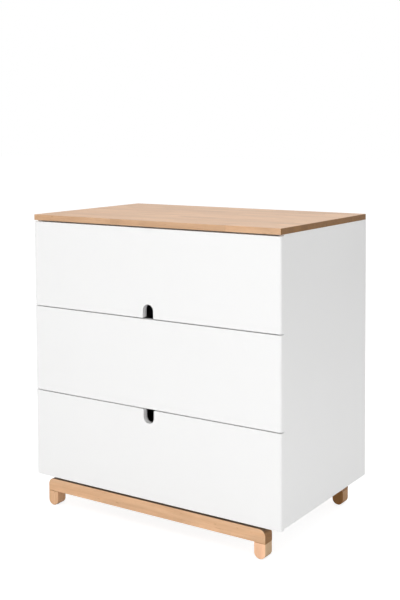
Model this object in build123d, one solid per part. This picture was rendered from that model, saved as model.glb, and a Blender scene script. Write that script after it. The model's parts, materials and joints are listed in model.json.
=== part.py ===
from build123d import *
from collections import namedtuple
import os

# A three-drawer nursery chest whose flat hardwood top is the changing surface.
# Millimetres. The origin is on the floor under the middle of the chest, +Z is up,
# +X is to the right of someone facing the drawers, and the drawers open towards -Y.

# Overall size
width = 900.0
depth = 552.0
base_height = 95.0            # floor to the underside of the side panels
body_height = 837.0           # underside of the side panels to the top of the slab
board = 18.0                  # slab, side panels, bottom panel, rails and drawer fronts

# Drawer fronts and their finger notches
drawer_names = ("bottom", "middle", "top")
front_spacing = 3.0           # between two drawer fronts
slab_shadow_gap = 4.2         # between the top drawer front and the slab
bottom_front_height = 274.0
front_overhang = 2.7          # bottom drawer front below the underside of the side panels
front_standoff = 0.5          # between a closed front and the edges of the side panels
front_corner_radius = 8.0
edge_softening = 0.8
slab_corner_radius = 3.0
slab_top_rounding = 1.5
slab_under_rounding = 0.8
notch_width = 38.0
notch_depth = 42.0
notch_mouth_radius = 2.5

# Drawer boxes
box_height = 170.0
box_depth = 480.0
box_board = 15.0
box_top_rounding = 2.0
box_offset = 50.0             # box above the lower edge of its front
bottom_thickness = 6.0
bottom_height = 12.0          # drawer bottom above the lower edge of the box
groove_depth = 6.0
groove_play = 0.2

# Telescopic slides
slide_thickness = 12.7
slide_play = 0.1
slide_length = 450.0
slide_height = 45.0
slide_setback = 4.0           # slide behind the front edge of the side panel
slide_above_box_bottom = 60.0
sheet_steel = 1.2
cabinet_flange_end = 11.0     # this and the next three are measured from the side panel
middle_web_start = 2.2
middle_flange_end = 10.2
drawer_flange_end = 4.0
middle_half_height = 17.6
runner_half_height = 12.8

# Back, top rails and base
back_thickness = 6.0
back_setback = 12.0           # back panel in front of the rear edges
back_groove_depth = 8.0
back_play_below = 0.5
back_play_above = 0.3
top_rail_width = 80.0
front_rail_setback = 20.0     # front top rail behind the front edges of the side panels
base_end_inset = 50.0
base_rail_thickness = 38.0
base_rail_height = 48.0
base_shadow_gap = 5.5         # between the bottom drawer front and the front base rail
base_rib_thickness = 16.0
base_rib_root = 5.0           # rib below the top of its rail's front part
base_corner_radius = 20.0
base_edge_rounding = 1.5
rear_base_setback = 20.0
foot_width = 37.0
foot_rounding = 18.0
foot_groove = 1.0
glide_radius = 6.0
glide_drop = 1.0              # glide below the foot
glide_recess = 3.0
glide_chamfer = 0.4

# Derived places
half_width = width / 2
front_plane = -depth / 2
rear_plane = depth / 2
front_back = front_plane + board
carcass_front = front_back + front_standoff
back_rear = rear_plane - back_setback
back_front = back_rear - back_thickness
inner_half = half_width - board
slab_top = base_height + body_height
slab_bottom = slab_top - board
bottom_panel_top = base_height + board
lowest_front_edge = base_height - front_overhang
second_front_edge = lowest_front_edge + bottom_front_height + front_spacing
upper_front_height = (slab_bottom - slab_shadow_gap - second_front_edge - front_spacing) / 2
base_rail_top = lowest_front_edge - base_shadow_gap
box_half = inner_half - slide_thickness - slide_play
box_back = front_back + box_depth
rear_rail_front = back_front - board
rear_rail_bottom = slab_bottom - top_rail_width
rear_rail_middle = slab_bottom - top_rail_width / 2
front_rail_bottom = slab_bottom - board
front_rail_front = carcass_front + front_rail_setback
front_rail_middle = front_rail_front + top_rail_width / 2
slide_front = carcass_front + slide_setback
base_rail_bottom = base_height - base_rail_height
base_half = half_width - base_end_inset
front_base_y = front_plane
rear_base_y = rear_plane - rear_base_setback - base_rail_thickness

UP = (0, 0, 1)
DOWN = (0, 0, -1)
BACK = (0, 1, 0)
FORWARD = (0, -1, 0)
SIDES = {"left": -1, "right": 1}

Screw = namedtuple("Screw", "radius length head_radius head_height")
slab_screw = Screw(2.0, 30.0, 4.0, 2.4)
base_screw = Screw(2.5, 46.0, 4.5, 2.6)
back_screw = Screw(1.75, 16.0, 3.5, 1.8)
anchor_screw = Screw(2.0, 18.0, 3.8, 2.2)
box_screw = Screw(2.0, 40.0, 4.0, 2.2)
slide_screw = Screw(1.75, 13.0, 3.0, 0.7)
drill_play = 0.05
cut_margin = 1.0              # a cutting solid past the faces that it opens
head_rounding = 0.3           # of the head's height
cross_width = 0.22            # of the head's radius
cross_depth = 0.55            # of the head's height

cam_radius = 7.5
cam_depth = 12.0
cam_inset = 34.0              # cam centre from the end of its board
cam_cross_span = 8.0
cam_cross_width = 1.4
cam_cross_depth = 1.5
cam_bolt_radius = 3.0
cam_thread_radius = 3.5
cam_thread_length = 10.0
dowel_radius = 4.0
dowel_in_side = 12.0
dowel_in_board = 18.0
dowel_chamfer = 1.0
foot_bolt_radius = 4.0
foot_bolt_half_length = 25.0
counterbore_radius = 6.0
counterbore_depth = 14.0

# Where the fasteners stand along the boards
slab_screw_xs = (-330, -110, 110, 330)
slab_screw_share = 0.7        # of the front top rail's width, from its front edge
base_screw_xs = (-300, -100, 100, 300)
back_screw_xs = (-380, -190, 0, 190, 380)
anchor_screw_xs = (-24, 24)
panel_cam_ys = (-190, 190)
panel_dowel_ys = (-90, 90)
slab_cam_ys = (-140, 140)
slab_dowel_ys = (-180, 180)
rail_dowel_inset = 14.0       # dowel from the edge of a top rail
slide_screw_offsets = (35, 160, 290, 415)
box_screw_heights = (32, 140)
box_cam_heights = (36, 134)

# Steel loop on the back
anchor_strip = 1.5
anchor_height = 18.0
anchor_foot_span = 32.0
anchor_bridge_span = 16.0
anchor_bridge_rise = 7.0


# ---------------------------------------------------------------- helpers

def block(x, y, z):
    """A box given by its low and high limit along each axis."""
    spans = [sorted(span) for span in (x, y, z)]
    sizes = [high - low for low, high in spans]
    middle = [(high + low) / 2 for low, high in spans]
    return Pos(*middle) * Box(*sizes)


def rod(start, direction, radius, length):
    """A round bar that leaves a point in a direction."""
    along = Plane(origin=start, z_dir=direction)
    return along * Cylinder(radius, length, align=(Align.CENTER, Align.CENTER, Align.MIN))


def opposite(direction):
    return tuple(-value for value in direction)


def cross_recess(point, direction, span, slot, deep):
    """A cross cut into a face from a point on it, for a screwdriver."""
    face = Plane(origin=point, z_dir=direction)
    along = Box(span, slot, 2 * deep)
    return face * along + face * Rot(0, 0, 90) * along


def screw_solid(place, screw):
    """A pan-head screw: the head sits on the surface at the place and the shank goes in."""
    point, direction = place
    head = rod(point, opposite(direction), screw.head_radius, screw.head_height)
    head = fillet(head.edges().filter_by(GeomType.CIRCLE), screw.head_height * head_rounding)
    crown = tuple(p - d * screw.head_height for p, d in zip(point, direction))
    slot = screw.head_radius * cross_width
    head -= cross_recess(crown, direction, screw.head_radius, slot, screw.head_height * cross_depth)
    return head + rod(point, direction, screw.radius, screw.length)


def drilled(part, places, radius, length):
    """The part with a hole at each place."""
    for point, direction in places:
        part -= rod(point, direction, radius + drill_play, length + drill_play)
    return part


def screwed(part, places, screw):
    return drilled(part, places, screw.radius, screw.length)


def group(solids):
    """Separate solids that share one node."""
    return Compound(children=[solid.solid() for solid in solids])


def edges_on(part, axis, position, tolerance=0.01):
    """The edges that lie wholly in a plane square to an axis."""
    return part.edges().filter_by_position(axis, position - tolerance, position + tolerance)


# ---------------------------------------------------------------- fastener places

def slab_screw_places():
    """Up through the front top rail into the slab."""
    y = front_rail_front + top_rail_width * slab_screw_share
    return [((x, y, front_rail_bottom), UP) for x in slab_screw_xs]


def base_rail_ribs():
    """Middle of each base rail's tall rib, front rail and rear rail."""
    offset = base_rail_thickness - base_rib_thickness / 2
    return (front_base_y + offset, rear_base_y + offset)


def base_screw_places():
    """Up through the base rails into the bottom panel, from inside counterbores."""
    seat = base_rail_bottom + counterbore_depth
    return [((x, y, seat), UP) for y in base_rail_ribs() for x in base_screw_xs]


def back_screw_places():
    """Through the back panel into the bottom panel and the rear rail."""
    heights = (base_height + board / 2, slab_bottom - board / 2)
    return [((x, back_rear, z), FORWARD) for z in heights for x in back_screw_xs]


def anchor_screw_places():
    return [((x, back_rear + anchor_strip, rear_rail_middle), FORWARD) for x in anchor_screw_xs]


def carcass_cam_places():
    """Cams in the bottom panel, the two top rails and the side panels under the slab."""
    places = []
    for side in SIDES.values():
        x = side * (inner_half - cam_inset)
        places += [((x, y, base_height), UP) for y in panel_cam_ys]
        places.append(((x, front_rail_middle, front_rail_bottom), UP))
        places.append(((x, rear_rail_front, rear_rail_middle), BACK))
        outward = (side, 0, 0)
        places += [((side * inner_half, y, slab_bottom - cam_inset), outward) for y in slab_cam_ys]
    return places


def joint_places(bottom_ys, front_rail_y, rear_rail_z, slab_ys):
    """Where the ends of the boards meet the side panels, and the side panels meet the slab.

    Each direction points into the board that holds the cam or the longer end of a dowel.
    """
    places = []
    for side in SIDES.values():
        inward = (-side, 0, 0)
        x = side * inner_half
        for y in bottom_ys:
            places.append(((x, y, base_height + board / 2), inward))
        places.append(((x, front_rail_y, slab_bottom - board / 2), inward))
        places.append(((x, back_front - board / 2, rear_rail_z), inward))
        for y in slab_ys:
            places.append(((side * (half_width - board / 2), y, slab_bottom), DOWN))
    return places


def carcass_bolt_places():
    return joint_places(panel_cam_ys, front_rail_middle, rear_rail_middle, slab_cam_ys)


def carcass_dowel_places():
    rail_y = front_rail_front + rail_dowel_inset
    return joint_places(panel_dowel_ys, rail_y, rear_rail_bottom + rail_dowel_inset, slab_dowel_ys)


def reversed_places(places):
    return [(point, opposite(direction)) for point, direction in places]


def front_bottom(level):
    if level == 0:
        return lowest_front_edge
    return second_front_edge + (level - 1) * (upper_front_height + front_spacing)


def front_top(level):
    return front_bottom(level) + (bottom_front_height if level == 0 else upper_front_height)


def box_bottom(level):
    return front_bottom(level) + box_offset


def slide_height_of(level):
    return box_bottom(level) + slide_above_box_bottom


def slide_screw_ys():
    return [slide_front + offset for offset in slide_screw_offsets]


def cabinet_slide_screw_places(level):
    """Through the cabinet members into the side panels."""
    z = slide_height_of(level)
    return [((side * (inner_half - sheet_steel), y, z), (side, 0, 0))
            for side in SIDES.values() for y in slide_screw_ys()]


def runner_screw_places(level):
    """Through the drawer members into the drawer sides."""
    z = slide_height_of(level)
    x = box_half + slide_play + sheet_steel
    return [((side * x, y, z), (-side, 0, 0))
            for side in SIDES.values() for y in slide_screw_ys()]


def box_screw_places(level):
    """Through the drawer sides into the ends of the drawer back."""
    heights = [box_bottom(level) + height for height in box_screw_heights]
    return [((side * box_half, box_back - box_board / 2, z), (-side, 0, 0))
            for side in SIDES.values() for z in heights]


def drawer_bolt_places(level):
    """From the back of the front into the ends of the drawer sides."""
    x = box_half - box_board / 2
    return [((side * x, front_back, box_bottom(level) + height), BACK)
            for side in SIDES.values() for height in box_cam_heights]


def drawer_cam_places(level):
    """On the inner faces of the drawer sides, behind the front."""
    x = box_half - box_board
    y = front_back + cam_inset
    return [((side * x, y, box_bottom(level) + height), (side, 0, 0))
            for side in SIDES.values() for height in box_cam_heights]


# ---------------------------------------------------------------- fastener solids

def cam_solid(place):
    """A round cam with a screwdriver cross in its face."""
    point, direction = place
    cam = rod(point, direction, cam_radius - drill_play, cam_depth)
    return cam - cross_recess(point, direction, cam_cross_span, cam_cross_width, cam_cross_depth)


def cam_bolt_solid(place):
    """A bolt with its thread in one board and its shank reaching a cam in the next."""
    point, direction = place
    thread = rod(point, opposite(direction), cam_thread_radius, cam_thread_length)
    return thread + rod(point, direction, cam_bolt_radius, cam_inset - cam_radius)


def dowel_solid(place):
    point, direction = place
    start = tuple(p - d * dowel_in_side for p, d in zip(point, direction))
    dowel = rod(start, direction, dowel_radius, dowel_in_side + dowel_in_board)
    return chamfer(dowel.edges().filter_by(GeomType.CIRCLE), dowel_chamfer)


def cam_drilled(part, cam_places, bolt_places):
    """A board with the pockets of its cams and the bores of the bolts that reach them."""
    part = drilled(part, cam_places, cam_radius, cam_depth)
    return drilled(part, bolt_places, cam_bolt_radius, cam_inset - cam_radius)


# ---------------------------------------------------------------- carcass

def top_slab():
    slab = block((-half_width, half_width), (front_plane, rear_plane), (slab_bottom, slab_top))
    slab = fillet(slab.edges().filter_by(Axis.Z), slab_corner_radius)
    slab = fillet(edges_on(slab, Axis.Z, slab_top), slab_top_rounding)
    slab = fillet(edges_on(slab, Axis.Z, slab_bottom), slab_under_rounding)
    slab = drilled(slab, reversed_places(carcass_bolt_places()), cam_thread_radius, cam_thread_length)
    slab = drilled(slab, reversed_places(carcass_dowel_places()), dowel_radius, dowel_in_side)
    return screwed(slab, slab_screw_places(), slab_screw)


def side_panel(side):
    outer = side * half_width
    inner = side * inner_half
    panel = block((inner, outer), (carcass_front, rear_plane), (base_height, slab_bottom))
    panel = fillet(edges_on(panel, Axis.X, outer), edge_softening)
    groove_y = (back_front - groove_play / 2, back_rear + groove_play / 2)
    groove_end = side * (inner_half + back_groove_depth)
    groove_z = (base_height - cut_margin, slab_bottom + cut_margin)
    panel -= block((inner - side * cut_margin, groove_end), groove_y, groove_z)
    panel = drilled(panel, reversed_places(carcass_bolt_places()), cam_thread_radius, cam_thread_length)
    panel = drilled(panel, reversed_places(carcass_dowel_places()), dowel_radius, dowel_in_side)
    panel = drilled(panel, carcass_dowel_places(), dowel_radius, dowel_in_board)
    panel = cam_drilled(panel, carcass_cam_places(), carcass_bolt_places())
    for level in range(len(drawer_names)):
        panel = screwed(panel, cabinet_slide_screw_places(level), slide_screw)
    return panel


def bottom_panel():
    panel = block((-inner_half, inner_half), (carcass_front, back_front), (base_height, bottom_panel_top))
    panel = cam_drilled(panel, carcass_cam_places(), carcass_bolt_places())
    panel = drilled(panel, carcass_dowel_places(), dowel_radius, dowel_in_board)
    panel = screwed(panel, back_screw_places(), back_screw)
    return screwed(panel, base_screw_places(), base_screw)


def back_panel():
    half = inner_half + back_groove_depth - 2 * groove_play
    heights = (base_height + back_play_below, slab_bottom - back_play_above)
    panel = block((-half, half), (back_front, back_rear), heights)
    panel = screwed(panel, back_screw_places(), back_screw)
    return screwed(panel, anchor_screw_places(), anchor_screw)


def top_rail_front():
    y = (front_rail_front, front_rail_front + top_rail_width)
    rail = block((-inner_half, inner_half), y, (front_rail_bottom, slab_bottom))
    rail = cam_drilled(rail, carcass_cam_places(), carcass_bolt_places())
    rail = drilled(rail, carcass_dowel_places(), dowel_radius, dowel_in_board)
    return screwed(rail, slab_screw_places(), slab_screw)


def top_rail_rear():
    rail = block((-inner_half, inner_half), (rear_rail_front, back_front), (rear_rail_bottom, slab_bottom))
    rail = cam_drilled(rail, carcass_cam_places(), carcass_bolt_places())
    rail = drilled(rail, carcass_dowel_places(), dowel_radius, dowel_in_board)
    rail = screwed(rail, back_screw_places(), back_screw)
    return screwed(rail, anchor_screw_places(), anchor_screw)


def anti_tip_anchor():
    """A bent steel loop on the back, for the strap that ties the chest to a wall."""
    foot_y = back_rear + anchor_strip / 2
    bridge_y = foot_y + anchor_bridge_rise
    with BuildPart() as loop:
        with BuildSketch(Plane.XY.offset(rear_rail_middle - anchor_height / 2)):
            with BuildLine():
                Polyline(
                    (-anchor_foot_span, foot_y),
                    (-anchor_bridge_span, foot_y),
                    (-anchor_bridge_span, bridge_y),
                    (anchor_bridge_span, bridge_y),
                    (anchor_bridge_span, foot_y),
                    (anchor_foot_span, foot_y),
                )
                offset(amount=anchor_strip / 2, side=Side.BOTH, kind=Kind.INTERSECTION)
            make_face()
        extrude(amount=anchor_height)
    return screwed(loop.part, anchor_screw_places(), anchor_screw)


# ---------------------------------------------------------------- base

def base_rail(front_y):
    """A long rail with rounded upper ends, and a rib along its back that meets the chest."""
    low = block((-base_half, base_half), (front_y, front_y + base_rail_thickness),
                (base_rail_bottom, base_rail_top))
    top_ends = edges_on(low, Axis.Z, base_rail_top).filter_by(Axis.Y)
    low = fillet(top_ends, base_corner_radius)
    low = fillet(edges_on(low, Axis.Y, front_y), base_edge_rounding)
    rib_half = base_half - base_corner_radius
    rib_front = front_y + base_rail_thickness - base_rib_thickness
    rib = block((-rib_half, rib_half), (rib_front, front_y + base_rail_thickness),
                (base_rail_top - base_rib_root, base_height))
    rail = low + rib
    for point, direction in base_screw_places():
        mouth = (point[0], point[1], base_rail_bottom)
        rail -= rod(mouth, UP, counterbore_radius, counterbore_depth)
    rail = screwed(rail, base_screw_places(), base_screw)
    return drilled(rail, foot_bolt_places(), foot_bolt_radius, 2 * foot_bolt_half_length)


def foot_centres():
    middle = base_half - foot_width / 2
    return {
        "front_left": (-middle, front_base_y + base_rail_thickness / 2),
        "front_right": (middle, front_base_y + base_rail_thickness / 2),
        "rear_left": (-middle, rear_base_y + base_rail_thickness / 2),
        "rear_right": (middle, rear_base_y + base_rail_thickness / 2),
    }


def foot_bolt_places():
    start = base_rail_bottom - foot_bolt_half_length
    return [((x, y, start), UP) for x, y in foot_centres().values()]


def foot(centre):
    """A short square foot, its lower end rounded to a half circle seen from the front."""
    x, y = centre
    half_x = foot_width / 2
    front_y = y - base_rail_thickness / 2
    rear_y = y + base_rail_thickness / 2
    body = block((x - half_x, x + half_x), (front_y, rear_y), (glide_drop, base_rail_bottom))
    body = fillet(edges_on(body, Axis.Z, glide_drop).filter_by(Axis.Y), foot_rounding)
    outline = edges_on(body, Axis.Y, front_y) + edges_on(body, Axis.Y, rear_y)
    body = fillet(outline - edges_on(body, Axis.Z, base_rail_bottom), base_edge_rounding)
    body = chamfer(edges_on(body, Axis.Z, base_rail_bottom), foot_groove)
    body -= rod((x, y, 0), UP, glide_radius + drill_play, glide_drop + glide_recess)
    return drilled(body, foot_bolt_places(), foot_bolt_radius, 2 * foot_bolt_half_length)


def glide(centre):
    x, y = centre
    pad = rod((x, y, 0), UP, glide_radius, glide_drop + glide_recess)
    return chamfer(edges_on(pad, Axis.Z, 0), glide_chamfer)


# ---------------------------------------------------------------- slides

def channel(side, web_at, web_towards, flange_end, half_height, y):
    """A C-shaped steel profile: an upright web with a flange along its top and bottom.

    The distances are from the inner face of the side panel towards the drawer.
    """
    def across(distance):
        return side * (inner_half - distance)
    length_y = (y, y + slide_length)
    web = block((across(web_at), across(web_towards)), length_y, (-half_height, half_height))
    for end in (-1, 1):
        flange_z = (end * half_height, end * (half_height - sheet_steel))
        web += block((across(web_at), across(flange_end)), length_y, flange_z)
    return web


def cabinet_member(side, level):
    member = channel(side, 0, sheet_steel, cabinet_flange_end, slide_height / 2, slide_front)
    member = Pos(0, 0, slide_height_of(level)) * member
    return screwed(member, cabinet_slide_screw_places(level), slide_screw)


def middle_member(side, level):
    web_end = middle_web_start + sheet_steel
    member = channel(side, middle_web_start, web_end, middle_flange_end, middle_half_height, slide_front)
    return Pos(0, 0, slide_height_of(level)) * member


def drawer_member(side, level):
    web_at = slide_thickness
    web_end = web_at - sheet_steel
    member = channel(side, web_at, web_end, drawer_flange_end, runner_half_height, slide_front)
    member = Pos(0, 0, slide_height_of(level)) * member
    return screwed(member, runner_screw_places(level), slide_screw)


# ---------------------------------------------------------------- drawers

def notch(edge_z, inward):
    """A finger notch: straight sides, a round end, and a softened mouth at the panel's edge."""
    half = notch_width / 2
    straight = notch_depth - half
    start_y = front_plane - cut_margin
    through = board + 2 * cut_margin
    y = (start_y, start_y + through)
    outside_z = edge_z - inward * cut_margin
    cut = block((-half, half), y, (outside_z, edge_z + inward * straight))
    cut += rod((0, start_y, edge_z + inward * straight), BACK, half, through)
    for side in SIDES.values():
        corner_x = side * (half + notch_mouth_radius)
        corner_z = edge_z + inward * notch_mouth_radius
        wedge = block((side * (half - cut_margin), corner_x), y, (outside_z, corner_z))
        wedge -= rod((corner_x, start_y, corner_z), BACK, notch_mouth_radius, through)
        cut += wedge
    return cut


def drawer_front(level):
    low = front_bottom(level)
    high = front_top(level)
    panel = block((-half_width, half_width), (front_plane, front_back), (low, high))
    front_uprights = edges_on(panel, Axis.Y, front_plane).filter_by(Axis.Z)
    panel = fillet(front_uprights, front_corner_radius)
    panel = fillet(edges_on(panel, Axis.Z, high) + edges_on(panel, Axis.Z, low), edge_softening)
    if drawer_names[level] == "top":
        panel -= notch(low, 1)
    if drawer_names[level] == "bottom":
        panel -= notch(high, -1)
    groove_z = box_bottom(level) + bottom_height
    groove_half = box_half - box_board + groove_depth
    panel -= block((-groove_half, groove_half), (front_back - groove_depth, front_back + cut_margin),
                   (groove_z - groove_play / 2, groove_z + bottom_thickness + groove_play / 2))
    return drilled(panel, reversed_places(drawer_bolt_places(level)), cam_thread_radius, cam_thread_length)


def bottom_groove(level):
    """The groove that runs round the inside of a drawer box for its bottom."""
    half = box_half - box_board + groove_depth
    z = box_bottom(level) + bottom_height
    return block((-half, half), (front_back - cut_margin, box_back - box_board + groove_depth),
                 (z - groove_play / 2, z + bottom_thickness + groove_play / 2))


def drawer_side(side, level):
    low = box_bottom(level)
    panel = block((side * (box_half - box_board), side * box_half), (front_back, box_back),
                  (low, low + box_height))
    top_edges = edges_on(panel, Axis.Z, low + box_height).filter_by(Axis.Y)
    panel = fillet(top_edges, box_top_rounding)
    panel -= bottom_groove(level)
    panel = cam_drilled(panel, drawer_cam_places(level), drawer_bolt_places(level))
    panel = screwed(panel, box_screw_places(level), box_screw)
    return screwed(panel, runner_screw_places(level), slide_screw)


def drawer_back(level):
    low = box_bottom(level)
    half = box_half - box_board
    panel = block((-half, half), (box_back - box_board, box_back), (low, low + box_height))
    top_edges = edges_on(panel, Axis.Z, low + box_height).filter_by(Axis.X)
    panel = fillet(top_edges, box_top_rounding)
    panel -= bottom_groove(level)
    return screwed(panel, box_screw_places(level), box_screw)


def drawer_bottom(level):
    half = box_half - box_board + groove_depth - groove_play
    z = box_bottom(level) + bottom_height
    y = (front_back - groove_depth + groove_play, box_back - box_board + groove_depth - groove_play)
    return block((-half, half), y, (z, z + bottom_thickness))


# ---------------------------------------------------------------- the whole chest

def carcass_nodes():
    feet = foot_centres()
    nodes = {
        "top_slab": top_slab(),
        "bottom_panel": bottom_panel(),
        "back_panel": back_panel(),
        "top_rail_front": top_rail_front(),
        "top_rail_rear": top_rail_rear(),
        "base_rail_front": base_rail(front_base_y),
        "base_rail_rear": base_rail(rear_base_y),
        "foot_glides": group(glide(centre) for centre in feet.values()),
        "foot_bolts": group(rod(point, direction, foot_bolt_radius, 2 * foot_bolt_half_length)
                            for point, direction in foot_bolt_places()),
        "base_screws": group(screw_solid(place, base_screw) for place in base_screw_places()),
        "slab_screws": group(screw_solid(place, slab_screw) for place in slab_screw_places()),
        "back_panel_screws": group(screw_solid(place, back_screw) for place in back_screw_places()),
        "carcass_cams": group(cam_solid(place) for place in carcass_cam_places()),
        "carcass_cam_bolts": group(cam_bolt_solid(place) for place in carcass_bolt_places()),
        "carcass_dowels": group(dowel_solid(place) for place in carcass_dowel_places()),
        "anti_tip_anchor": anti_tip_anchor(),
        "anti_tip_anchor_screws": group(screw_solid(place, anchor_screw)
                                        for place in anchor_screw_places()),
    }
    for name, side in SIDES.items():
        nodes[f"side_panel_{name}"] = side_panel(side)
    for name, centre in feet.items():
        nodes[f"foot_{name}"] = foot(centre)
    slide_screws = []
    for level, name in enumerate(drawer_names):
        nodes[f"{name}_slide_cabinet_members"] = group(cabinet_member(s, level) for s in SIDES.values())
        slide_screws += [screw_solid(p, slide_screw) for p in cabinet_slide_screw_places(level)]
    nodes["cabinet_slide_screws"] = group(slide_screws)
    return nodes


def drawer_nodes(level, name):
    return {
        f"{name}_drawer_front": drawer_front(level),
        f"{name}_drawer_side_left": drawer_side(SIDES["left"], level),
        f"{name}_drawer_side_right": drawer_side(SIDES["right"], level),
        f"{name}_drawer_back": drawer_back(level),
        f"{name}_drawer_bottom": drawer_bottom(level),
        f"{name}_drawer_cams": group(cam_solid(place) for place in drawer_cam_places(level)),
        f"{name}_drawer_cam_bolts": group(cam_bolt_solid(place) for place in drawer_bolt_places(level)),
        f"{name}_drawer_back_screws": group(screw_solid(p, box_screw) for p in box_screw_places(level)),
        f"{name}_slide_drawer_members": group(drawer_member(s, level) for s in SIDES.values()),
        f"{name}_slide_screws": group(screw_solid(p, slide_screw) for p in runner_screw_places(level)),
        f"{name}_slide_middle_members": group(middle_member(s, level) for s in SIDES.values()),
    }


def all_nodes():
    nodes = carcass_nodes()
    for level, name in enumerate(drawer_names):
        nodes.update(drawer_nodes(level, name))
    return nodes


os.makedirs("parts", exist_ok=True)
for node, shape in all_nodes().items():
    export_step(shape, f"parts/{node}.step")
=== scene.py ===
import json
import math

import bmesh
import bpy
from mathutils import Matrix, Vector


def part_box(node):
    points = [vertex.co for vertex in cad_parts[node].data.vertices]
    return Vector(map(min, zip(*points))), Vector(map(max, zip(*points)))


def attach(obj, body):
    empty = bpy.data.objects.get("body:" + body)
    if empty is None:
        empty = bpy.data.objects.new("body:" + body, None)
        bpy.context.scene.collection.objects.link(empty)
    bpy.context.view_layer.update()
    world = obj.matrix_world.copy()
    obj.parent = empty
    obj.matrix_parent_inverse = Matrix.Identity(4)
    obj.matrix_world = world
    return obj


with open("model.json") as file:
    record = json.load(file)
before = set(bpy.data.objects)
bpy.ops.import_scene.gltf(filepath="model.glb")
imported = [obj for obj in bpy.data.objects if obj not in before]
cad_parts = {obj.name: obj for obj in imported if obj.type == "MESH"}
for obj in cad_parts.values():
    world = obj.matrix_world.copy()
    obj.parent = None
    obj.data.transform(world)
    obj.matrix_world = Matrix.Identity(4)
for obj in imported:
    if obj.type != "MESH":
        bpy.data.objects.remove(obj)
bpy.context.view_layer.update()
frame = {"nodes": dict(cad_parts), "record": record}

MM = 0.001
DRAWERS = ("bottom", "middle", "top")
SIDES = (-1, 1)

slab_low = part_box("top_slab")[0]


# ---------------------------------------------------------------- camera, light and floor

def make_camera():
    """A long lens a little above the chest, looking at its front and right side."""
    place = Vector((1.7936, -2.6969, 1.2053))
    turn = math.radians(33.563)
    look_down = math.radians(3.009)
    roll = math.radians(-0.261)
    data = bpy.data.cameras.new("camera")
    data.sensor_width = 36.0
    data.lens = 61.368
    data.shift_y = -0.1973
    camera = bpy.data.objects.new("camera", data)
    bpy.context.scene.collection.objects.link(camera)
    aim = Matrix.Rotation(turn, 4, "Z") @ Matrix.Rotation(math.pi / 2 - look_down, 4, "X")
    camera.matrix_world = Matrix.Translation(place) @ aim @ Matrix.Rotation(roll, 4, "Z")
    bpy.context.scene.camera = camera


def soft_light(name, place, target, size, power):
    """A rectangular softbox; lengths are in metres and the power is in watts."""
    data = bpy.data.lights.new(name, "AREA")
    data.shape = "RECTANGLE"
    data.size, data.size_y = size
    data.energy = power
    light = bpy.data.objects.new(name, data)
    bpy.context.scene.collection.objects.link(light)
    light.location = place
    light.rotation_euler = (Vector(target) - Vector(place)).to_track_quat("-Z", "Y").to_euler()


def make_lights():
    """A large softbox above, one far in front, and a weak strip low beside the right panel."""
    soft_light("overhead_softbox", place=(-0.1, -0.6, 3.4), target=(0, 0, 0), size=(5.0, 5.0), power=77)
    soft_light("front_softbox", place=(0.8, -4.2, 0.7), target=(0, 0, 0.45), size=(3.4, 2.4), power=65)
    soft_light("side_softbox", place=(1.45, 0, 0.15), target=(0.45, 0, 0.1), size=(2.0, 0.2), power=1.25)


def make_world():
    """A white studio, brighter behind the chest; the camera sees its walls as plain white.

    The light brightens as the Y part of a direction goes from one value to another.
    """
    dim, bright = 0.43, 1.0
    brightens_from, brightens_to = 0.45, 0.85
    world = bpy.data.worlds.new("studio")
    bpy.context.scene.world = world
    world.use_nodes = True
    tree = world.node_tree
    lit = tree.nodes["Background"]
    seen = tree.nodes.new("ShaderNodeBackground")
    for background in (lit, seen):
        background.inputs["Color"].default_value = (1, 1, 1, 1)
    direction = tree.nodes.new("ShaderNodeTexCoord")
    split = tree.nodes.new("ShaderNodeSeparateXYZ")
    backdrop = tree.nodes.new("ShaderNodeMapRange")
    backdrop.inputs["From Min"].default_value = brightens_from
    backdrop.inputs["From Max"].default_value = brightens_to
    backdrop.inputs["To Min"].default_value = dim
    backdrop.inputs["To Max"].default_value = bright
    tree.links.new(direction.outputs["Generated"], split.inputs[0])
    tree.links.new(split.outputs["Y"], backdrop.inputs["Value"])
    tree.links.new(backdrop.outputs[0], lit.inputs["Strength"])
    path = tree.nodes.new("ShaderNodeLightPath")
    choose = tree.nodes.new("ShaderNodeMixShader")
    tree.links.new(path.outputs["Is Camera Ray"], choose.inputs[0])
    tree.links.new(lit.outputs[0], choose.inputs[1])
    tree.links.new(seen.outputs[0], choose.inputs[2])
    tree.links.new(choose.outputs[0], tree.nodes["World Output"].inputs["Surface"])


def make_floor():
    """A pale floor: it is seen almost white, with the chest's soft shadow faintly on it."""
    half = 30.0
    bounce_tone = 0.86
    shadow_tone = 0.42
    glow_strength = 0.84
    mesh = bpy.data.meshes.new("floor")
    corners = [(-half, -half, 0), (half, -half, 0), (half, half, 0), (-half, half, 0)]
    mesh.from_pydata(corners, [], [(0, 1, 2, 3)])
    floor = bpy.data.objects.new("floor", mesh)
    bpy.context.scene.collection.objects.link(floor)
    shader = Shader("studio_floor", roughness=0.9, specular=0.0)
    shader.colour((bounce_tone,) * 3)
    shadowed = shader.node("ShaderNodeBsdfDiffuse", {"Color": opaque((shadow_tone,) * 3)})
    glow = shader.node("ShaderNodeEmission", {"Color": (1, 1, 1, 1), "Strength": glow_strength})
    seen = shader.node("ShaderNodeAddShader", {0: shadowed.outputs[0], 1: glow.outputs[0]})
    path = shader.node("ShaderNodeLightPath")
    choose = shader.node("ShaderNodeMixShader", {
        0: path.outputs["Is Camera Ray"], 1: shader.surface.outputs[0], 2: seen.outputs[0]})
    shader.put(shader.tree.nodes["Material Output"].inputs["Surface"], choose.outputs[0])
    mesh.materials.append(shader.material)


# ---------------------------------------------------------------- shader helpers

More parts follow.
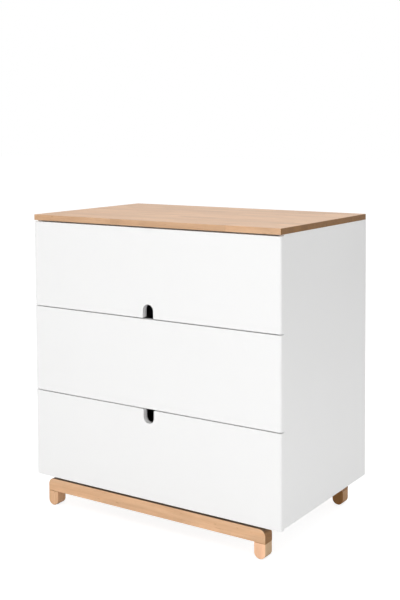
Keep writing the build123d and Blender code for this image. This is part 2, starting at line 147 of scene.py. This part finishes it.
class Shader:
    """One material, with short calls that add nodes to it and join them."""

    def __init__(self, name, roughness=0.5, specular=0.5, metallic=0.0):
        self.material = bpy.data.materials.new(name)
        self.material.use_nodes = True
        self.tree = self.material.node_tree
        self.surface = self.tree.nodes["Principled BSDF"]
        self.surface.inputs["Roughness"].default_value = roughness
        self.surface.inputs["Specular IOR Level"].default_value = specular
        self.surface.inputs["Metallic"].default_value = metallic

    def put(self, socket, value):
        if isinstance(value, bpy.types.NodeSocket):
            self.tree.links.new(value, socket)
        elif value is not None:
            socket.default_value = value

    def node(self, kind, inputs=None, **settings):
        made = self.tree.nodes.new(kind)
        for key, value in settings.items():
            setattr(made, key, value)
        for key, value in (inputs or {}).items():
            self.put(made.inputs[key], value)
        return made

    def math(self, operation, a, b=None, c=None):
        return self.node("ShaderNodeMath", {0: a, 1: b, 2: c}, operation=operation).outputs[0]

    def place(self):
        """The point's place in the frame, in metres."""
        return self.node("ShaderNodeTexCoord").outputs["Object"]

    def normal(self):
        return self.node("ShaderNodeTexCoord").outputs["Normal"]

    def split(self, vector):
        return self.node("ShaderNodeSeparateXYZ", {0: vector}).outputs

    def join(self, x, y, z):
        return self.node("ShaderNodeCombineXYZ", {0: x, 1: y, 2: z}).outputs[0]

    def scaled(self, vector, factors):
        return self.node("ShaderNodeVectorMath", {0: vector, 1: factors}, operation="MULTIPLY").outputs[0]

    def noise(self, vector, scale=1.0, detail=4.0, roughness=0.5, distortion=0.0):
        inputs = {"Vector": vector, "Scale": scale, "Detail": detail,
                  "Roughness": roughness, "Distortion": distortion}
        return self.node("ShaderNodeTexNoise", inputs).outputs["Fac"]

    def random_tone(self, vector):
        """One value from 0 to 1 for each whole-numbered place."""
        made = self.node("ShaderNodeTexWhiteNoise", {"Vector": vector}, noise_dimensions="2D")
        return made.outputs["Value"]

    def remap(self, value, low, high, new_low=0.0, new_high=1.0):
        inputs = {0: value, 1: low, 2: high, 3: new_low, 4: new_high}
        return self.node("ShaderNodeMapRange", inputs, clamp=True).outputs[0]

    def mix(self, factor, first, second, blend="MIX"):
        made = self.node("ShaderNodeMix", data_type="RGBA", blend_type=blend)
        self.put(made.inputs["Factor"], factor)
        self.put(made.inputs["A"], opaque(first))
        self.put(made.inputs["B"], opaque(second))
        return made.outputs["Result"]

    def tinted(self, colour, tint):
        return self.mix(1.0, colour, tint, blend="MULTIPLY")

    def colour(self, value):
        self.put(self.surface.inputs["Base Color"], opaque(value))

    def roughness(self, value):
        self.put(self.surface.inputs["Roughness"], value)

    def uneven_roughness(self, noise, smooth, rough):
        """Roughness from smooth to rough, over the middle range that a noise mostly keeps to."""
        self.roughness(self.remap(noise, 0.3, 0.7, smooth, rough))

    def bump(self, height, distance):
        inputs = {"Height": height, "Distance": distance, "Strength": 1.0}
        self.put(self.surface.inputs["Normal"], self.node("ShaderNodeBump", inputs).outputs[0])


def opaque(value):
    if isinstance(value, tuple) and len(value) == 3:
        return (*value, 1.0)
    return value


# ---------------------------------------------------------------- wood

WOOD_PALE = (0.700, 0.425, 0.242)
WOOD_MIDDLE = (0.617, 0.345, 0.182)
WOOD_DARK = (0.430, 0.214, 0.095)
END_GRAIN = (0.43, 0.32, 0.125)
END_RING = (0.16, 0.085, 0.040)
# Painted shadow: the near-black brown laid on the rails' up-facing tops, for the shade under the chest.
PAINTED_SHADOW_COLOUR = (0.060, 0.032, 0.016)
RAIL_TINT = (1.20, 1.24, 1.28)
PALE_FOOT_TINT = (1.52, 1.58, 1.80)
# Painted shade: the front right foot's side faces are darkened by this tint.
PALE_FOOT_SIDE_PAINTED_SHADE = (0.66, 0.74, 0.70)
# Painted shade: the rear feet, which stand in the shade under the chest, get a darker copy of the wood, and
# their fronts darker still.
REAR_PAINTED_SHADE_TINT = (0.74, 0.67, 0.50)
REAR_FRONT_PAINTED_SHADE = (0.70, 0.60, 0.40)
SLAB_TINT = (1.00, 1.045, 1.10)
BEECH_TINT = (1.05, 1.05, 1.00)

PIECE_SPREAD = 37.0
SOLID_PIECE_TONE = 0.45
WOOD_BUMP = 0.06 * MM


def drawn_out(shader, plank, shift, lengthwise, crosswise, cross_shift=0.0):
    """Where a wood noise is read: low and high frequencies per metre, along and across the grain."""
    along, across, height = plank
    return shader.join(
        shader.math("MULTIPLY_ADD", along, lengthwise, shift),
        shader.math("MULTIPLY_ADD", across, crosswise, cross_shift),
        shader.math("MULTIPLY", height, crosswise),
    )


def ring_figure(shader, plank, shift):
    """The broad bands that the year rings draw along a plank, 0 to 1."""
    bands_in_noise = 11.0
    place = drawn_out(shader, plank, shift, lengthwise=1.3, crosswise=16.0, cross_shift=shift)
    figure = shader.noise(place, detail=2.0, distortion=0.6)
    return shader.math("PINGPONG", shader.math("MULTIPLY", figure, bands_in_noise), 1.0)


def fibres(shader, plank, shift):
    """Fine streaks along the grain, 0 to 1."""
    place = drawn_out(shader, plank, shift, lengthwise=5.0, crosswise=260.0)
    return shader.noise(place, detail=5.0, roughness=0.65, distortion=0.3)


def open_pores(shader, plank, shift):
    """Short thin pores: 1 in a pore and 0 beside it."""
    pore_rim, pore_middle = 0.63, 0.72
    place = drawn_out(shader, plank, shift, lengthwise=70.0, crosswise=1900.0)
    return shader.remap(shader.noise(place, detail=1.0), pore_rim, pore_middle)


def ray_flecks(shader, plank, shift):
    """A few larger flecks: 1 in a fleck and 0 beside it."""
    fleck_rim, fleck_middle = 0.76, 0.82
    place = drawn_out(shader, plank, shift, lengthwise=42.0, crosswise=260.0)
    return shader.remap(shader.noise(place, detail=0.0), fleck_rim, fleck_middle)


def plank_clouds(shader, plank, shift):
    """Soft lighter and darker patches, as a factor near 1."""
    noise_low, noise_high = 0.25, 0.75
    darkest, lightest = 0.90, 1.10
    place = drawn_out(shader, plank, shift, lengthwise=7.0, crosswise=26.0)
    clouds = shader.noise(place, detail=2.0, roughness=0.55, distortion=0.8)
    return shader.remap(clouds, noise_low, noise_high, darkest, lightest)


def darkened(shader, colour, where, share):
    """The colour taken part of the way to the darkest wood."""
    return shader.mix(shader.math("MULTIPLY", where, share), colour, WOOD_DARK)


def end_grain(shader, colour, plank, piece_tone):
    """The deeper colour of a sawn end, with year rings about a pith beside each piece."""
    pith_across, pith_up = 0.05, 0.04
    wobble_scale = 60.0
    wobble = 2.5
    rings_per_metre = 520.0
    ring_share = 0.30
    _, across, height = plank
    from_pith = shader.join(
        shader.math("MULTIPLY_ADD", piece_tone, pith_across, across),
        shader.math("MULTIPLY_ADD", piece_tone, pith_up, height),
        0.0,
    )
    ring_noise = shader.noise(shader.scaled(from_pith, (wobble_scale, wobble_scale, 1.0)), detail=2.0)
    radius = shader.node("ShaderNodeVectorMath", {0: from_pith}, operation="LENGTH").outputs["Value"]
    year = shader.math("MULTIPLY_ADD", radius, rings_per_metre, shader.math("MULTIPLY", ring_noise, wobble))
    rings = shader.math("PINGPONG", year, 1.0)
    deeper = shader.tinted(colour, END_GRAIN)
    return shader.mix(shader.math("MULTIPLY", rings, ring_share), deeper, END_RING)


def wood_surface(shader, plank, end_facing, piece_tone, tint):
    """Long grain along one direction, and darker ring ends where the surface faces that way.

    plank is the point's place along, across and up through the wood, in metres, and
    piece_tone is 0 to 1 for each glued piece. The colour and the relief are returned.
    """
    ring_share, fibre_share = 0.40, 0.60
    palest_streak, deepest_streak = 0.10, 0.95
    dark_fibre_from, dark_fibre_to = 0.50, 0.78
    darkest_piece, lightest_piece = 0.91, 1.07
    fibre_height, pore_depth = 0.6, 0.8
    shift = shader.math("MULTIPLY", piece_tone, PIECE_SPREAD)
    rings = ring_figure(shader, plank, shift)
    fibre = fibres(shader, plank, shift)
    pores = open_pores(shader, plank, shift)

    fibre_part = shader.math("MULTIPLY", fibre, fibre_share)
    streak = shader.math("MULTIPLY_ADD", rings, ring_share, fibre_part)
    colour = shader.mix(shader.remap(streak, palest_streak, deepest_streak), WOOD_PALE, WOOD_MIDDLE)
    dark_fibre = shader.remap(fibre, dark_fibre_from, dark_fibre_to)
    colour = darkened(shader, colour, dark_fibre, share=0.30)
    colour = darkened(shader, colour, pores, share=0.30)
    colour = darkened(shader, colour, ray_flecks(shader, plank, shift), share=0.55)

    piece_factor = shader.remap(piece_tone, 0.0, 1.0, darkest_piece, lightest_piece)
    tone = shader.math("MULTIPLY", piece_factor, plank_clouds(shader, plank, shift))
    colour = shader.tinted(shader.tinted(colour, shader.join(tone, tone, tone)), tint)
    colour = shader.mix(end_facing, colour, end_grain(shader, colour, plank, piece_tone))

    relief = shader.math("MULTIPLY_ADD", fibre, fibre_height, shader.math("MULTIPLY", pores, -pore_depth))
    return colour, relief


def facing(shader, axis):
    """1 where the surface faces along an axis, either way, and 0 where it lies along it."""
    begins, full = 0.45, 0.80
    normal = shader.split(shader.normal())
    return shader.remap(shader.math("ABSOLUTE", normal["XYZ".index(axis)]), begins, full)


def oiled_roughness(shader, relief, smooth, rough):
    """A satin oil finish, rougher where the fibres stand higher."""
    highest_fibre = 0.6
    shader.roughness(shader.remap(relief, 0.0, highest_fibre, smooth, rough))


def slab_wood(name):
    """Finger-jointed staves that run along the slab, glued edge to edge, under a satin oil."""
    stave_width = 0.042
    front_stave_cut = 0.011
    row_stagger = 5.7
    piece_length = 0.41
    finger_length = 0.010
    finger_pitch = 0.0038
    stave_seam = 0.0006
    finger_seam = 0.0009
    seam_darkness = 0.45
    shader = Shader(name)
    x, y, z = shader.split(shader.place())
    from_first_stave = shader.math("SUBTRACT", y, slab_low.y - front_stave_cut)
    row_place = shader.math("DIVIDE", from_first_stave, stave_width)
    row = shader.math("FLOOR", row_place)
    row_tone = shader.node("ShaderNodeTexWhiteNoise", {"W": row}, noise_dimensions="1D").outputs["Value"]
    start = shader.math("MULTIPLY_ADD", row_tone, row_stagger, shader.math("DIVIDE", x, piece_length))
    zigzag = shader.math("PINGPONG", y, finger_pitch / 2)
    fingers = shader.math("MULTIPLY_ADD", zigzag, finger_length / piece_length / (finger_pitch / 2), start)
    piece_tone = shader.random_tone(shader.join(row, shader.math("FLOOR", fingers), 0.0))
    colour, relief = wood_surface(shader, (x, y, z), facing(shader, "X"), piece_tone, SLAB_TINT)

    from_row_edge = shader.math("PINGPONG", row_place, 0.5)
    row_seam = shader.remap(from_row_edge, 0.0, stave_seam / stave_width, 1.0, 0.0)
    from_piece_end = shader.math("PINGPONG", fingers, 0.5)
    piece_seam = shader.remap(from_piece_end, 0.0, finger_seam / piece_length, 1.0, 0.0)
    seam = shader.math("MAXIMUM", row_seam, piece_seam)
    shader.colour(darkened(shader, colour, seam, share=seam_darkness))
    oiled_roughness(shader, relief, smooth=0.36, rough=0.48)
    shader.bump(shader.math("SUBTRACT", relief, seam), WOOD_BUMP)
    return shader.material


def solid_wood(name, axis, tint, painted_shadow_on_top=False, painted_shade_axis="X", painted_shade_tint=None):
    """One solid piece of the same wood, with its grain along an axis.

    A tint can darken the faces that look along one more axis: painted shade, for faces that the light
    reaches less.
    """
    shader = Shader(name)
    x, y, z = shader.split(shader.place())
    plank = (x, y, z) if axis == "X" else (z, x, y)
    colour, relief = wood_surface(shader, plank, facing(shader, axis), SOLID_PIECE_TONE, tint)
    # Painted shade: faces along the given axis are darkened by the tint.
    if painted_shade_tint:
        colour = shader.mix(facing(shader, painted_shade_axis), colour, shader.tinted(colour, painted_shade_tint))
    # Painted shadow: up-facing surfaces are darkened towards a near-black brown, standing in for the shade
    # under the chest.
    if painted_shadow_on_top:
        painted_shadow_begins, painted_shadow_full = 0.35, 0.85
        painted_shadow_share = 0.85
        up = shader.split(shader.normal())["Z"]
        painted_shadow = shader.remap(up, painted_shadow_begins, painted_shadow_full, 0.0, painted_shadow_share)
        colour = shader.mix(painted_shadow, colour, PAINTED_SHADOW_COLOUR)
    shader.colour(colour)
    oiled_roughness(shader, relief, smooth=0.38, rough=0.50)
    shader.bump(relief, WOOD_BUMP)
    return shader.material


# ---------------------------------------------------------------- lacquer, board, metal and plastic

def white_lacquer(name):
    """Sprayed satin lacquer: a faint orange peel, and a finish that is a little uneven."""
    shader = Shader(name)
    place = shader.place()
    clouds = shader.noise(place, scale=3.0, detail=3.0)
    peel = shader.noise(place, scale=420.0, detail=2.0, roughness=0.4)
    shader.colour(shader.mix(clouds, (0.925, 0.925, 0.920), (0.940, 0.940, 0.937)))
    shader.uneven_roughness(clouds, smooth=0.34, rough=0.42)
    shader.bump(peel, 0.012 * MM)
    return shader.material


def white_board(name, smooth, rough):
    """Melamine-faced board with a fine pressed pearl texture."""
    shader = Shader(name)
    place = shader.place()
    pearl = shader.noise(place, scale=1300.0, detail=2.0, roughness=0.6)
    clouds = shader.noise(place, scale=5.0, detail=2.0)
    shader.colour(shader.mix(clouds, (0.880, 0.880, 0.870), (0.905, 0.905, 0.895)))
    shader.uneven_roughness(pearl, smooth, rough)
    shader.bump(pearl, 0.03 * MM)
    return shader.material


def fibreboard(name):
    """Hard fibreboard under white foil, with a faint mottle."""
    shader = Shader(name, specular=0.4)
    mottle = shader.noise(shader.place(), scale=60.0, detail=5.0, roughness=0.65)
    shader.colour(shader.mix(mottle, (0.830, 0.828, 0.815), (0.900, 0.898, 0.888)))
    shader.uneven_roughness(mottle, smooth=0.55, rough=0.70)
    shader.bump(mottle, 0.05 * MM)
    return shader.material


def shaded(colour, factor):
    return tuple(value * factor for value in colour)


def plated_steel(name, colour, roughness):
    """Zinc-plated steel: fine draw marks along the chest's depth, and cloudy plating."""
    mark_frequencies = (1500.0, 18.0, 1500.0)
    shader = Shader(name, metallic=1.0)
    place = shader.place()
    marks = shader.noise(shader.scaled(place, mark_frequencies), detail=3.0)
    clouds = shader.noise(place, scale=35.0, detail=3.0)
    shader.colour(shader.mix(clouds, shaded(colour, 0.82), colour))
    shader.uneven_roughness(marks, smooth=roughness - 0.08, rough=roughness + 0.12)
    shader.bump(marks, 0.01 * MM)
    return shader.material


def moulded_plastic(name, colour):
    """Plastic with a fine spark-eroded grain."""
    shader = Shader(name, specular=0.45)
    grain = shader.noise(shader.place(), scale=900.0, detail=3.0)
    shader.colour(shader.mix(grain, shaded(colour, 0.88), colour))
    shader.uneven_roughness(grain, smooth=0.45, rough=0.60)
    shader.bump(grain, 0.03 * MM)
    return shader.material


# ---------------------------------------------------------------- what each node is made of

def make_materials():
    """One material for each material slot of the record."""
    return {
        "hardwood_slab": slab_wood("hardwood_slab"),
        # The rails' up-facing tops are darkened: painted shadow, for the shade under the chest.
        "hardwood_base": solid_wood("hardwood_base_rail_painted_shadow", "X", RAIL_TINT, painted_shadow_on_top=True),
        "white_lacquer_fronts": white_lacquer("white_lacquer_fronts"),
        "white_lacquer_sides": white_lacquer("white_lacquer_sides"),
        "white_board": white_board("white_board", smooth=0.39, rough=0.53),
        "back_board": fibreboard("back_board"),
        "drawer_board": white_board("drawer_board", smooth=0.44, rough=0.58),
        "drawer_bottom_board": fibreboard("drawer_bottom_board"),
        "beech_dowel": solid_wood("beech_dowel", "X", BEECH_TINT),
        "glide_plastic": moulded_plastic("glide_plastic", (0.42, 0.34, 0.26)),
        "slide_steel": plated_steel("slide_steel", (0.70, 0.71, 0.73), roughness=0.34),
        "zinc": plated_steel("zinc", (0.58, 0.59, 0.60), roughness=0.46),
        "screw_steel": plated_steel("screw_steel", (0.72, 0.72, 0.74), roughness=0.30),
    }


def foot_materials():
    """The feet stand across the rails' grain; the front right foot is made paler than the rails, and the
    rear feet and some faces carry painted shade.
    """
    front_left = solid_wood("hardwood_foot_front_left", "Z", RAIL_TINT)
    # Painted shade on the front right foot's side faces.
    front_right = solid_wood("hardwood_foot_front_right_painted_side_shade", "Z", PALE_FOOT_TINT, painted_shade_tint=PALE_FOOT_SIDE_PAINTED_SHADE)
    # The rear feet are darker copies of the wood, with darker fronts: painted shade under the chest.
    rear = solid_wood("hardwood_foot_rear_painted_shade", "Z", REAR_PAINTED_SHADE_TINT, painted_shade_axis="Y", painted_shade_tint=REAR_FRONT_PAINTED_SHADE)
    return {
        "foot_front_left": front_left,
        "foot_front_right": front_right,
        "foot_rear_left": rear,
        "foot_rear_right": rear,
    }


def dress_cad_nodes(materials):
    slots = {part["node"]: part["material_slot"] for part in frame["record"]["subparts"]}
    own = foot_materials()
    for node, piece in frame["nodes"].items():
        piece.data.materials.clear()
        piece.data.materials.append(own.get(node) or materials[slots[node]])


# ---------------------------------------------------------------- pieces that only Blender makes

def piece_from(name, mesh_builder, material, body):
    """A new piece from a bmesh, riding on a body and taking the finish it is given."""
    mesh = bpy.data.meshes.new(name)
    mesh_builder.to_mesh(mesh)
    mesh_builder.free()
    mesh.materials.append(material)
    piece = bpy.data.objects.new(name, mesh)
    bpy.context.scene.collection.objects.link(piece)
    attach(piece, body)
    return piece


def add_ball_row(builder, x, z, start_y, length):
    """Steel balls held in a thin cage strip along a slide's race."""
    ball_radius = 1.6 * MM
    spacing = 9.0 * MM
    strip_width, strip_thickness = 3.4 * MM, 0.7 * MM
    for index in range(int(length / spacing)):
        middle = Matrix.Translation((x, start_y + (index + 0.5) * spacing, z))
        bmesh.ops.create_icosphere(builder, subdivisions=2, radius=ball_radius, matrix=middle)
    strip = Matrix.Translation((x, start_y + length / 2, z))
    size = Matrix.Diagonal((strip_width, length, strip_thickness, 1.0))
    made = bmesh.ops.create_cube(builder, size=1.0, matrix=strip @ size)
    edges = {edge for vertex in made["verts"] for edge in vertex.link_edges}
    bmesh.ops.bevel(builder, geom=list(edges), offset=0.25 * MM, segments=2, affect="EDGES")


def make_ball_cages(level, material):
    """The ball rows of one pair of slides, two outer rows and two inner rows on each side."""
    outer_inset, outer_half_height, outer_start = 4.0 * MM, 19.45 * MM, 236 * MM
    inner_inset, inner_half_height, inner_start = 4.6 * MM, 14.60 * MM, 14 * MM
    row_length = 190 * MM
    low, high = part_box(f"{level}_slide_middle_members")
    middle_z = (low.z + high.z) / 2
    builder = bmesh.new()
    for side in SIDES:
        for upright in SIDES:
            outer_x = side * (high.x - outer_inset)
            inner_x = side * (high.x - inner_inset)
            outer_z = middle_z + upright * outer_half_height
            inner_z = middle_z + upright * inner_half_height
            add_ball_row(builder, outer_x, outer_z, low.y + outer_start, row_length)
            add_ball_row(builder, inner_x, inner_z, low.y + inner_start, row_length)
    name = f"{level}_slide_ball_cages"
    piece = piece_from(name, builder, material, f"{level}_slide_middles")
    for polygon in piece.data.polygons:
        polygon.use_smooth = True


def make_bumpers(level, material):
    """Thin round pads on the back of a drawer front, where it meets the side panels."""
    radius = 4.0 * MM
    thickness = 0.42 * MM
    corner_inset = 22 * MM
    rim_bevel = 0.12 * MM
    low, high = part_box(f"{level}_drawer_front")
    panel_low, panel_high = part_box("side_panel_right")
    middle_x = (panel_low.x + panel_high.x) / 2
    builder = bmesh.new()
    for side in SIDES:
        for z in (low.z + corner_inset, high.z - corner_inset):
            place = Matrix.Translation((side * middle_x, high.y + thickness / 2, z))
            turned = place @ Matrix.Rotation(math.pi / 2, 4, "X")
            bmesh.ops.create_cone(builder, cap_ends=True, segments=32, radius1=radius,
                                  radius2=radius, depth=thickness, matrix=turned)
    rims = [edge for edge in builder.edges if any(len(face.verts) > 4 for face in edge.link_faces)]
    bmesh.ops.bevel(builder, geom=rims, offset=rim_bevel, segments=2, affect="EDGES")
    piece_from(f"{level}_drawer_bumpers", builder, material, f"{level}_drawer")


def make_details(materials):
    pad_material = moulded_plastic("bumper_silicone", (0.80, 0.80, 0.78))
    for level in DRAWERS:
        make_ball_cages(level, materials["slide_steel"])
        make_bumpers(level, pad_material)


# ---------------------------------------------------------------- the scene


bpy.context.scene.view_settings.view_transform = "Standard"
make_camera()
make_world()
make_lights()
make_floor()
slot_materials = make_materials()
dress_cad_nodes(slot_materials)
make_details(slot_materials)
